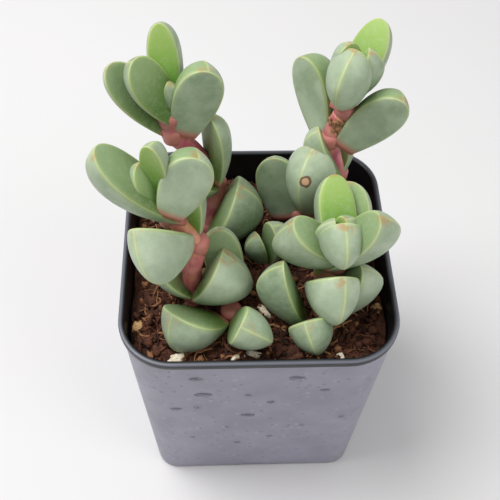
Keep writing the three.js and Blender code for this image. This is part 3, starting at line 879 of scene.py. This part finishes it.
@dataclass
class Stem:
    """One fleshy stem through its nodes, from below the mix to the last pair."""

    name: str
    radius: float
    path: tuple[Point, ...]
    skin: bpy.types.Material | None = None
    step: float = 0.7
    sides: int = 26
    taper: float = 0.12
    bumps: float = 0.07
    # Noise steps round the stem and for each millimetre of height
    bumps_round: float = 1.6
    bumps_up: float = 0.35
    # Depth of the fine ribs, how many there are and how fast they twist
    rib_depth: float = 0.02
    ribs: int = 5
    rib_twist: float = 0.3

    def unevenness(self, angle: float, height: float) -> float:
        """Share of the radius at one place on the stem's skin."""
        across = (math.cos(angle) * self.bumps_round, math.sin(angle) * self.bumps_round)
        bump = self.bumps * noise.noise(Vector((*across, height * self.bumps_up)))
        return 1 + bump + self.rib_depth * math.sin(self.ribs * angle + self.rib_twist * height)

    def centre_line(self) -> np.ndarray:
        """Smooth points along the stem.

        Returns:
            One row for each ring.
        """
        knots = np.array(self.path)
        padded = np.vstack([2 * knots[0] - knots[1], knots, 2 * knots[-1] - knots[-2]])
        line = []
        for p0, p1, p2, p3 in zip(padded, padded[1:], padded[2:], padded[3:]):
            steps = max(2, int(np.linalg.norm(p2 - p1) / self.step))
            for t in np.arange(steps) / steps:
                line.append(0.5 * (2 * p1 + (p2 - p0) * t + (2 * p0 - 5 * p1 + 4 * p2 - p3) * t * t
                                   + (3 * p1 - p0 - 3 * p2 + p3) * t ** 3))
        return np.array([*line, knots[-1]])

    def build(self) -> bpy.types.Object:
        """Builds the stem in place of its solid.

        Returns:
            The new piece.
        """
        line = self.centre_line()
        ways = np.gradient(line, axis=0)
        ways /= np.linalg.norm(ways, axis=1)[:, None]
        angle = 2 * np.pi * np.arange(self.sides) / self.sides
        rings = []
        for i, (centre, way) in enumerate(zip(line, ways)):
            side = np.array([1.0, 0, 0]) - way * way[0]
            side /= np.linalg.norm(side)
            other = np.cross(way, side)
            radius = self.radius * (1 - self.taper * i / len(line))
            uneven = np.array([self.unevenness(turn, centre[2]) for turn in angle])
            reach = radius * uneven[:, None]
            rings.append(centre + reach * (np.cos(angle)[:, None] * side + np.sin(angle)[:, None] * other))
        surface = Surface()
        surface.patch(np.concatenate(rings), loft_faces(len(rings), self.sides))
        piece = surface.piece(f"{self.name}_fine", self.skin, Slot.STEM)
        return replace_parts(piece, self.name)


STEMS = (
    Stem("stem_a", 2.4, (
        (-12.5, 11.5, 50), (-12, 12, 61), (-9.5, 16.6, 72),
        (-14, 15.6, 84), (-19, 14, 92), (-19.3, 14.3, 95),
    )),
    Stem("stem_b", 2.3, (
        (21.5, 20.2, 50), (21.2, 20.3, 62), (20.4, 20.2, 73), (17.6, 19.1, 85), (19.6, 19.6, 92.5),
    )),
    Stem("stem_c", 2.3, (
        (-14.8, -10, 50), (-15.4, -10, 64), (-15, -9.2, 73), (-14.2, -8.2, 80), (-19.4, -5.8, 88),
    )),
    Stem("stem_d", 2.3, ((16.6, -17.5, 50), (15.8, -15, 60), (15.8, -11.2, 67.5), (17.6, -10.3, 75.5))),
    Stem("stem_k", 2.2, ((-6.3, -14.5, 50), (-6.3, -14.5, 56), (-6.3, -14.5, 62.5))),
    Stem("stem_e", 2.2, ((11, 13.5, 50), (11, 13.5, 58), (11, 13.5, 64.5))),
    Stem("stem_f", 1.8, ((2.2, 0.7, 50), (2.2, 0.7, 55), (2.2, 0.7, 60.5))),
)


# Pot


@dataclass(frozen=True)
class Band:
    """Neighbouring rings of the pot's skin that look alike.

    Each ring is a height and how far it lies inside the outer wall. Where over_arch is given, the rings stay
    that far above the arches of the underside.
    """

    rings: tuple[tuple[float, float], ...]
    outside: float = 0.0
    # Share of the painted highlight on the rim's top edge
    lip: float = 0.0
    over_arch: float | None = None


@dataclass
class Pot:
    """Thin-walled square nursery pot with a small lip, low arches under its sides and four drain holes."""

    rim_width: float = 63.5
    base_width: float = 54.0
    height: float = 68.0
    rim_corner: float = 12.4
    base_corner: float = 5.8
    wall: float = 0.9
    lip_reach: float = 0.5
    lip_height: float = 2.2
    floor: float = 2.0
    bevel: float = 0.8
    notch_width: float = 14.0
    notch_height: float = 1.0
    notch_depth: float = 9.0
    drain_radius: float = 2.6
    drain_spread: float = 17.0
    drain_sides: int = 32
    # Inset of the rings that close the underside and the floor
    middle: float = 25.4
    least_corner: float = 0.2
    arch_slope: float = 1.0
    per_corner: int = 14
    per_side: int = 26
    plastic: bpy.types.Material | None = None

    def outline(self, z: float, inset: float) -> np.ndarray:
        """Rounded square at one height.

        Args:
            z: Height.
            inset: How far inside the outer wall it runs.

        Returns:
            One row for each point, counter-clockwise from the right side.
        """
        share = z / self.height
        half = (self.base_width + (self.rim_width - self.base_width) * share) / 2 - inset
        corner = self.base_corner + (self.rim_corner - self.base_corner) * share - inset
        corner = max(corner, self.least_corner)
        centre = half - corner
        ring = []
        for quarter in range(4):
            middle = math.radians(45 + 90 * quarter)
            cx = math.copysign(centre, math.cos(middle))
            cy = math.copysign(centre, math.sin(middle))
            for i in range(self.per_corner):
                turn = math.radians(90 * quarter + 90 * i / (self.per_corner - 1))
                ring.append((cx + corner * math.cos(turn), cy + corner * math.sin(turn), z))
            start = np.array(ring[-1])
            turn = math.pi / 2
            nx, ny = -math.sin(turn * (quarter + 1)), math.cos(turn * (quarter + 1))
            for i in range(1, self.per_side):
                step = 2 * centre * i / self.per_side
                ring.append((start[0] + nx * step, start[1] + ny * step, z))
        return np.array(ring)

    def arch(self, points: np.ndarray) -> np.ndarray:
        """Height of the arches above the resting plane at points of the underside."""
        half = self.base_width / 2
        rise = np.zeros(len(points))
        x, y = points[:, 0], points[:, 1]
        for reach, across in ((np.abs(x), y), (np.abs(y), x)):
            share = np.clip(0.5 + across / self.notch_width, 0, 1)
            bow = self.notch_height * np.sqrt(np.maximum(np.sin(np.pi * share), 0))
            inside = np.clip((reach - (half - self.notch_depth)) / self.arch_slope, 0, 1)
            rise = np.maximum(rise, bow * inside)
        return rise

    def bands(self) -> tuple[Band, ...]:
        """The pot's skin from the middle of the underside, up the outside and down to the floor's middle."""
        under, top, floor = self.height - self.lip_height, self.height, self.floor
        inner = self.wall + self.lip_reach
        return (
            Band(
                tuple((0.0, inset) for inset in (
                    self.middle, 20.0, 14.0, 9.5, 8.4, 5.0, self.bevel + 0.4, self.bevel,
                )),
                over_arch=0.0,
            ),
            Band(((0.25, 0.25), (self.bevel, 0.0)), outside=1.0, over_arch=0.05),
            Band((
                (3.0, 0.02), (16.0, 0.12), (34.0, 0.25), (52.0, 0.38),
                (under - 0.4, self.lip_reach), (under, self.lip_reach - 0.04),
            ), outside=1.0),
            Band(((under + 0.25, 0.1), (under + 0.6, 0.0), (top - 0.5, 0.0))),
            # The rim's top edge carries the painted highlight
            Band(((top - 0.12, 0.1), (top, 0.35)), lip=1.0),
            Band((
                (top, inner - 0.35), (top - 0.15, inner - 0.06), (top - 0.5, inner), (40.0, inner),
                (floor + 1.2, inner), (floor + 0.3, inner + 0.4), (floor, inner + 1.2), (floor, 14.0),
                (floor, self.middle),
            )),
        )

    def build(self) -> bpy.types.Object:
        """Builds the pot in place of its solid.

        Returns:
            The new piece.
        """
        rings, outside, lip = [], [], []
        for band in self.bands():
            for z, inset in band.rings:
                ring = self.outline(z, inset)
                if band.over_arch is not None:
                    ring[:, 2] = np.maximum(ring[:, 2], self.arch(ring) + band.over_arch)
                rings.append(ring)
                outside.append(band.outside)
                lip.append(band.lip)
        count = len(rings[0])
        surface = Surface("outside", "lip")
        surface.patch(
            np.concatenate(rings),
            loft_faces(len(rings), count),
            outside=np.repeat(outside, count),
            lip=np.repeat(lip, count),
        )
        piece = surface.piece("pot_fine", self.plastic, Slot.POT)
        self.drill(piece)
        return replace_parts(piece, "pot")

    def drill(self, piece: bpy.types.Object) -> None:
        """Cuts the drain holes through the floor."""
        tool = Surface()
        sides, overrun = self.drain_sides, 1
        angle = 2 * np.pi * np.arange(sides) / sides
        for x in (-0.5, 0.5):
            for y in (-0.5, 0.5):
                hole = np.stack([
                    x * self.drain_spread + self.drain_radius * np.cos(angle),
                    y * self.drain_spread + self.drain_radius * np.sin(angle),
                    np.zeros(sides),
                ], -1)
                ends = [hole + [0, 0, -overrun], hole + [0, 0, self.floor + overrun]]
                tool.patch(np.concatenate(ends), loft_faces(2, sides))
        cutter = tool.piece("drain_cutter", self.plastic)
        cut = piece.modifiers.new("drains", "BOOLEAN")
        cut.object = cutter
        cut.operation = "DIFFERENCE"
        cut.solver = "EXACT"
        evaluated = piece.evaluated_get(bpy.context.evaluated_depsgraph_get())
        piece.data = bpy.data.meshes.new_from_object(evaluated)
        piece.modifiers.clear()
        bpy.data.objects.remove(cutter)


# Potting mix with its fibres, crumbs and grains


@dataclass(frozen=True)
class MixTop:
    """Top of the mix: a slope towards the front with broad and finer soft lumps, as the solid has."""

    level: float = 60.9
    slope: float = 0.055
    bump: float = 0.55
    # Waves of the broad lumps: steps and start along x and y
    broad_x: tuple[float, float] = (0.41, 1.1)
    broad_y: tuple[float, float] = (0.37, -0.4)
    # Wave of the finer lumps, set across them, and its share
    fine: tuple[float, float] = (0.83, -0.52)
    fine_share: float = 0.6
    # Clods and crumbs of the real surface: noise steps, layer of the noise and depth
    clod: Point = (0.45, 3.0, 0.9)
    crumb: Point = (1.9, 8.0, 0.42)

    def smooth(self, x: float, y: float) -> float:
        """Height of the solid's top at a spot."""
        (a, b), (c, d) = self.broad_x, self.broad_y
        broad = math.sin(a * x + b) * math.cos(c * y + d)
        fine = self.fine_share * math.sin(self.fine[0] * x + self.fine[1] * y)
        return self.level - self.slope * y + self.bump * (broad + fine)

    def rough(self, x: float, y: float) -> float:
        """Height of the real, cloddy top at a spot."""
        (clod_step, clod_layer, clod_depth), (step, layer, depth) = self.clod, self.crumb
        clods = noise.fractal(Vector((x * clod_step, y * clod_step, clod_layer)), 0.9, 2.1, 4)
        fine = noise.noise(Vector((x * step, y * step, layer)))
        return self.smooth(x, y) + clod_depth * clods + depth * fine


MIX_TOP = MixTop()


@dataclass
class Mix:
    """Potting mix that fills the pot, with a fibrous crumbly top."""

    pot: Pot
    edge_drop: float = 0.7
    edge_from: float = 0.9
    clearance: float = 0.3
    under_bevel: float = 0.8
    # Height of the last ring on the wall, under the rough top
    last_on_wall: float = 55.0
    rings: int = 74
    crumbs: int = 1500
    fibres: int = 650
    # How far loose pieces stay inside the rim's width, and how round the corners of their square are
    crumb_inset: float = 3.4
    crumb_corner: float = 9.5
    fibre_inset: float = 2.6
    fibre_points: int = 10
    fewest_points: int = 3
    soil: bpy.types.Material | None = None

    def inside(self) -> float:
        """Inset of the mix from the pot's outer wall."""
        return self.pot.wall + self.pot.lip_reach + self.clearance

    def body(self) -> bpy.types.Object:
        """Builds the filling in place of its solid.

        Returns:
            The new piece.
        """
        inset, floor = self.inside(), self.pot.floor + self.clearance
        edge = self.pot.outline(MIX_TOP.level, inset)
        rings = [
            self.pot.outline(floor, inset + self.under_bevel),
            self.pot.outline(floor + self.under_bevel, inset),
            self.pot.outline(self.last_on_wall, inset),
        ]
        for i in range(self.rings):
            share = 1 - i / self.rings
            ring = edge * [share, share, 0]
            drop = self.edge_drop * max(0.0, (share - self.edge_from) / (1 - self.edge_from))
            ring[:, 2] = [MIX_TOP.rough(x, y) - drop for x, y, _ in ring]
            rings.append(ring)
        surface = Surface("tone")
        points = np.concatenate(rings)
        raised = np.array([MIX_TOP.rough(x, y) - MIX_TOP.smooth(x, y) for x, y, _ in points])
        tone = np.clip(0.3 + 0.5 * raised, 0, 0.7)
        surface.patch(points, loft_faces(len(rings), len(edge)), tone=tone)
        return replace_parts(surface.piece("soil_fine", self.soil, Slot.MIX), "soil")

    def spot(self, dice: np.random.Generator) -> tuple[float, float]:
        """A random spot on the top, off the wall."""
        half = self.pot.rim_width / 2 - self.crumb_inset
        corner = half - self.crumb_corner
        while True:
            x, y = dice.uniform(-half, half, 2)
            dx, dy = max(abs(x) - corner, 0), max(abs(y) - corner, 0)
            if math.hypot(dx, dy) < self.crumb_corner:
                return float(x), float(y)

    def crumb_piece(self) -> bpy.types.Object:
        """Builds the loose crumbs that lie on the top.

        Returns:
            The new piece.
        """
        dice = np.random.default_rng(SEED)
        surface = Surface("tone")
        for _ in range(self.crumbs):
            x, y = self.spot(dice)
            size = dice.uniform(0.3, 1.0) ** 1.6 * 1.35 * dice.uniform(0.55, 1.0, 3)
            points, faces = lump(size, dice, 0.6, 1)
            place = [x, y, MIX_TOP.rough(x, y) + 0.25 * size[2]]
            surface.patch(points + place, faces, tone=dice.uniform(0, 0.95) ** 1.3)
        return surface.piece("soil_crumbs", self.soil, Slot.MIX)

    def fibre_piece(self) -> bpy.types.Object:
        """Builds the coir and root fibres.

        Returns:
            The new piece.
        """
        dice = np.random.default_rng(SEED + 1)
        surface = Surface("tone")
        for _ in range(self.fibres):
            x, y = self.spot(dice)
            turn, bend = dice.uniform(0, 2 * math.pi), dice.normal(0, 0.28)
            step = dice.uniform(0.45, 1.1)
            radius = dice.uniform(0.1, 0.3)
            lift = dice.uniform(0.05, 0.7)
            line = []
            for i in range(self.fibre_points):
                bow = math.sin(math.pi * i / (self.fibre_points - 1))
                line.append((x, y, MIX_TOP.rough(x, y) + radius + lift * bow))
                x, y = x + step * math.cos(turn), y + step * math.sin(turn)
                turn += bend + dice.normal(0, 0.25)
                if max(abs(x), abs(y)) > self.pot.rim_width / 2 - self.fibre_inset:
                    break
            if len(line) > self.fewest_points:
                points, faces = strand(np.array(line), radius)
                surface.patch(points, faces, tone=dice.uniform(0.25, 1.0))
        return surface.piece("soil_fibres", self.soil, Slot.MIX)


@dataclass(frozen=True)
class DriedScales:
    """Papery brown scales left round the back right stem under its top pair."""

    centre: Point = (18.9, 19.3, 90)
    reach: float = 2.0
    size: Point = (0.35, 0.9, 1.3)
    turns: tuple[int, ...] = (200, 225, 250, 275, 300, 325)

    def build(self) -> bpy.types.Object:
        """Builds the scales as one piece.

        Returns:
            The new piece.
        """
        dice = np.random.default_rng(SEED + 2)
        surface = Surface("tone")
        for degrees in self.turns:
            points, faces = lump(np.array(self.size), dice, 0.3, 2, degrees)
            turn = math.radians(degrees)
            rise = dice.uniform(-1.2, 1.6)
            way = np.array([self.reach * math.cos(turn), self.reach * math.sin(turn), rise])
            surface.patch(points + (self.centre + way), faces, tone=dice.uniform(0.2, 0.8))
        skin = RoughGrain("dried_scale", "#3f2417", "#b08058").build()
        return surface.piece("dried_scales", skin, Slot.STEM)


def lump(
    size: np.ndarray, dice: np.random.Generator, rough: float, level: int, turn: float | None = None
) -> tuple[np.ndarray, list[list[int]]]:
    """An uneven rounded lump about the origin.

    Args:
        size: Half sizes.
        dice: Source of chance.
        rough: Depth of its unevenness.
        level: How finely it is divided.
        turn: Turn about the upright in degrees, or none for a random one.

    Returns:
        Its points and faces.
    """
    points, faces = BALLS[level]
    shift = Vector(dice.uniform(-50, 50, 3))
    uneven = np.array([1 + rough * noise.noise(Vector(p) * 1.7 + shift) * 1.6 for p in points])
    angle = dice.uniform(0, 2 * math.pi) if turn is None else math.radians(turn)
    matrix = np.array(Matrix.Rotation(angle, 3, "Z"))
    return (points * uneven[:, None] * size) @ matrix.T, faces


def ball(level: int) -> tuple[np.ndarray, list[list[int]]]:
    """A unit ball of triangles, divided from twenty faces."""
    g = (1 + 5 ** 0.5) / 2
    points = [
        (-1, g, 0), (1, g, 0), (-1, -g, 0), (1, -g, 0), (0, -1, g), (0, 1, g),
        (0, -1, -g), (0, 1, -g), (g, 0, -1), (g, 0, 1), (-g, 0, -1), (-g, 0, 1),
    ]
    faces = [
        (0, 11, 5), (0, 5, 1), (0, 1, 7), (0, 7, 10), (0, 10, 11), (1, 5, 9), (5, 11, 4),
        (11, 10, 2), (10, 7, 6), (7, 1, 8), (3, 9, 4), (3, 4, 2), (3, 2, 6), (3, 6, 8),
        (3, 8, 9), (4, 9, 5), (2, 4, 11), (6, 2, 10), (8, 6, 7), (9, 8, 1),
    ]
    points = [np.array(p) / np.linalg.norm(p) for p in points]
    for _ in range(level):
        seen: dict[tuple[int, int], int] = {}

        def middle(a: int, b: int) -> int:
            """Number of the point halfway between two."""
            key = (min(a, b), max(a, b))
            if key not in seen:
                half = points[a] + points[b]
                points.append(half / np.linalg.norm(half))
                seen[key] = len(points) - 1
            return seen[key]

        finer = []
        for a, b, c in faces:
            ab, bc, ca = middle(a, b), middle(b, c), middle(c, a)
            finer += [(a, ab, ca), (b, bc, ab), (c, ca, bc), (ab, bc, ca)]
        faces = finer
    return np.array(points), [list(face) for face in faces]


BALLS = {level: ball(level) for level in (1, 2, 3)}


def strand(line: np.ndarray, radius: float, sides: int = 5) -> tuple[np.ndarray, list[list[int]]]:
    """A thin round strand along a line, thinner at both ends.

    Args:
        line: Points along it.
        radius: Its radius in the middle.
        sides: Points round it.

    Returns:
        Its points and faces.
    """
    ways = np.gradient(line, axis=0)
    angle = 2 * np.pi * np.arange(sides) / sides
    rings = []
    for i, (centre, way) in enumerate(zip(line, ways)):
        way = way / np.linalg.norm(way)
        side = np.cross(way, [0, 0, 1.0])
        side /= np.linalg.norm(side)
        up = np.cross(side, way)
        reach = radius * (0.35 + 0.65 * math.sin(math.pi * (i + 0.5) / len(line)) ** 0.5)
        rings.append(centre + reach * (np.cos(angle)[:, None] * side + np.sin(angle)[:, None] * up))
    return np.concatenate(rings), loft_faces(len(rings), sides)


@dataclass
class Grain:
    """One larger grain or chip that lies half sunk in the mix."""

    name: str
    at: tuple[float, float]
    size: Point
    turn: float
    kind: GrainKind

    # How far its middle lies over the mix, as a share of its half height
    LIFT = 0.25

    def build(self, materials: dict[GrainKind, bpy.types.Material]) -> bpy.types.Object:
        """Builds the grain in place of its solid.

        Args:
            materials: Finish of each kind.

        Returns:
            The new piece.
        """
        dice = np.random.default_rng(SEED + len(self.name))
        points, faces = lump(np.array(self.size), dice, 0.22, 3, self.turn)
        surface = Surface("tone")
        height = MIX_TOP.smooth(*self.at) + self.size[2] * self.LIFT
        surface.patch(points + [*self.at, height], faces, tone=0.5)
        slot = Slot.PERLITE if self.kind is GrainKind.PERLITE else Slot.CHIP
        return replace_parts(surface.piece(f"{self.name}_fine", materials[self.kind], slot), self.name)


GRAINS = (
    Grain("perlite_front_left", (-18.7, -27), (2.1, 1.4, 1.2), 20, GrainKind.PERLITE),
    Grain("perlite_front_middle", (-5.6, -27.4), (1.2, 0.8, 0.9), 60, GrainKind.PERLITE),
    Grain("perlite_flat", (-1.8, -26), (2, 1.1, 0.8), 175, GrainKind.PERLITE),
    Grain("perlite_front_right", (18.2, -26.8), (1.1, 0.8, 0.8), 110, GrainKind.PERLITE),
    Grain("perlite_long", (1.3, -14.7), (2, 0.8, 0.9), 130, GrainKind.PERLITE),
    Grain("perlite_by_leaf", (8.3, -20.4), (1.3, 0.9, 0.8), 15, GrainKind.PERLITE),
    Grain("chip_round", (28, -13.8), (1.3, 1.2, 1), 0, GrainKind.CHIP),
    Grain("chip_left", (-28, -18.1), (1.6, 1.2, 1), 75, GrainKind.CHIP),
    Grain("chip_orange", (1.8, -23.2), (1.2, 0.8, 0.8), 40, GrainKind.CHIP),
)


@dataclass(frozen=True)
class Drops:
    """Water drops on the front wall of the pot: how far right, how high and how wide each one is."""

    # Half depth off the wall, and half height as a share of half width
    DEPTH = 0.3
    HEIGHT_SHARE = 0.6
    DROPS = (
        (-13.1, 51.2, 2.2), (-14.5, 60.0, 1.7), (-2.4, 38.2, 1.8), (-19.8, 43.0, 1.4), (3.0, 46.2, 1.1),
        (-2.6, 50.5, 0.8), (8.2, 59.7, 1.9), (15.2, 52.7, 1.2), (3.5, 23.3, 0.9), (-4.9, 19.3, 0.9),
        (21.0, 36.0, 0.7), (-7.5, 30.5, 0.6), (11.5, 31.0, 0.6), (-16.5, 24.0, 0.6), (-14.8, 43.5, 0.9),
    )

    def build(self, pot: Pot) -> bpy.types.Object:
        """Builds the drops as one piece.

        Args:
            pot: Whose wall they sit on.

        Returns:
            The new piece.
        """
        surface = Surface()
        slope = (pot.rim_width - pot.base_width) / 2 / pot.height
        points, faces = BALLS[2]
        for x, z, radius in self.DROPS:
            wall = -(pot.base_width / 2 + slope * z) + pot.lip_reach * z / pot.height
            surface.patch(points * [radius, self.DEPTH, self.HEIGHT_SHARE * radius] + [x, wall, z], faces)
        return surface.piece("pot_drops", WaterDrop().build(), Slot.POT)


# Stage, light and camera


@dataclass(frozen=True)
class Camera:
    """The photograph's view: angles in degrees, lengths in millimetres, focal length in pixels."""

    azimuth: float = -3.48
    elevation: float = 53.34
    distance: float = 228.19
    target: Point = (-0.36, 19.37, 40.8)
    roll: float = 2.04
    focal: float = 815.76
    frame_width: float = 500.0
    sensor: float = 36.0
    nearest: float = 10.0

    def build(self) -> bpy.types.Object:
        """Makes the camera the scene's own.

        Returns:
            The camera.
        """
        a, e, r = (math.radians(v) for v in (self.azimuth, self.elevation, self.roll))
        back = Vector((math.sin(a) * math.cos(e), -math.cos(a) * math.cos(e), math.sin(e)))
        right = (-back).cross(Vector((0, 0, 1))).normalized()
        up = right.cross(-back)
        right, up = right * math.cos(r) + up * math.sin(r), up * math.cos(r) - right * math.sin(r)
        place = (Vector(self.target) + back * self.distance) * MM
        data = bpy.data.cameras.new("camera")
        data.sensor_width = self.sensor
        data.lens = self.focal * self.sensor / self.frame_width
        data.clip_start = self.nearest * MM
        camera = bpy.data.objects.new("camera", data)
        turn = Matrix((right, up, back)).transposed()
        camera.matrix_world = Matrix.Translation(place) @ turn.to_4x4()
        bpy.context.scene.collection.objects.link(camera)
        bpy.context.scene.camera = camera
        return camera


@dataclass(frozen=True)
class SoftLight:
    """One large soft lamp that looks at a point of the plant."""

    name: str
    place: Point
    size: float
    power: float
    colour: str = "#ffffff"
    aim: Point = (0.0, 0.0, 60.0)

    def build(self) -> bpy.types.Object:
        """Makes the lamp.

        Returns:
            The lamp.
        """
        data = bpy.data.lights.new(self.name, "AREA")
        data.shape = "DISK"
        data.size = self.size * MM
        data.energy = self.power
        data.color = hue(self.colour)[:3]
        lamp = bpy.data.objects.new(self.name, data)
        lamp.location = Vector(self.place) * MM
        way = Vector(self.aim) * MM - lamp.location
        lamp.rotation_euler = way.to_track_quat("-Z", "Y").to_euler()
        bpy.context.scene.collection.objects.link(lamp)
        return lamp


@dataclass
class Studio:
    """Pale floor, even white surroundings and soft lamps."""

    floor_reach: float = 1500.0
    floor_points: int = 9
    sky: float = 0.5
    lamps: tuple[SoftLight, ...] = (
        SoftLight("key", (-260, 60, 620), 420, 3.7),
        SoftLight("fill", (420, -300, 380), 420, 0.8),
    )

    def build(self) -> None:
        """Makes the floor, the surroundings and the lamps."""
        reach, count = self.floor_reach, self.floor_points
        steps = np.linspace(-reach, reach, count)
        grid = np.array([(x, y, 0.0) for y in steps for x in steps])
        corners = [j * count + i for j in range(count - 1) for i in range(count - 1)]
        faces = [[a, a + 1, a + count + 1, a + count] for a in corners]
        floor = Surface()
        floor.patch(grid, faces)
        floor.piece("floor", PaleFloor().build())
        world = bpy.data.worlds.new("surroundings")
        world.use_nodes = True
        world.node_tree.nodes["Background"].inputs["Color"].default_value = (1, 1, 1, 1)
        world.node_tree.nodes["Background"].inputs["Strength"].default_value = self.sky
        bpy.context.scene.world = world
        bpy.context.scene.view_settings.view_transform = "Standard"
        for lamp in self.lamps:
            lamp.build()


def main() -> None:
    """Builds every sub-assembly in order."""
    logging.basicConfig(level=logging.INFO, format="%(name)s %(message)s")
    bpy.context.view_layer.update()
    Camera().build()
    Studio().build()
    soil = PottingMix().build()
    pot = Pot(plastic=NurseryPlastic().build())
    pot.build()
    mix = Mix(pot, soil=soil)
    mix.body()
    mix.crumb_piece()
    mix.fibre_piece()
    DriedScales().build()
    Drops().build(pot)
    grains = {
        GrainKind.PERLITE: RoughGrain("perlite", "#cdb98f", "#f3ead6").build(),
        GrainKind.CHIP: RoughGrain("bark_chip", "#8a6038", "#d3ab78").build(),
    }
    for grain in GRAINS:
        grain.build(grains)
    stem_skin = StemSkin().build()
    for stem in STEMS:
        stem.skin = stem_skin
        stem.build()
    leaf_skin = LeafSkin().build()
    for name, nodes in LEAF_GROUPS.items():
        LeafGroup(name, nodes, leaf_skin).build()


if __name__ == "__main__":
    main()
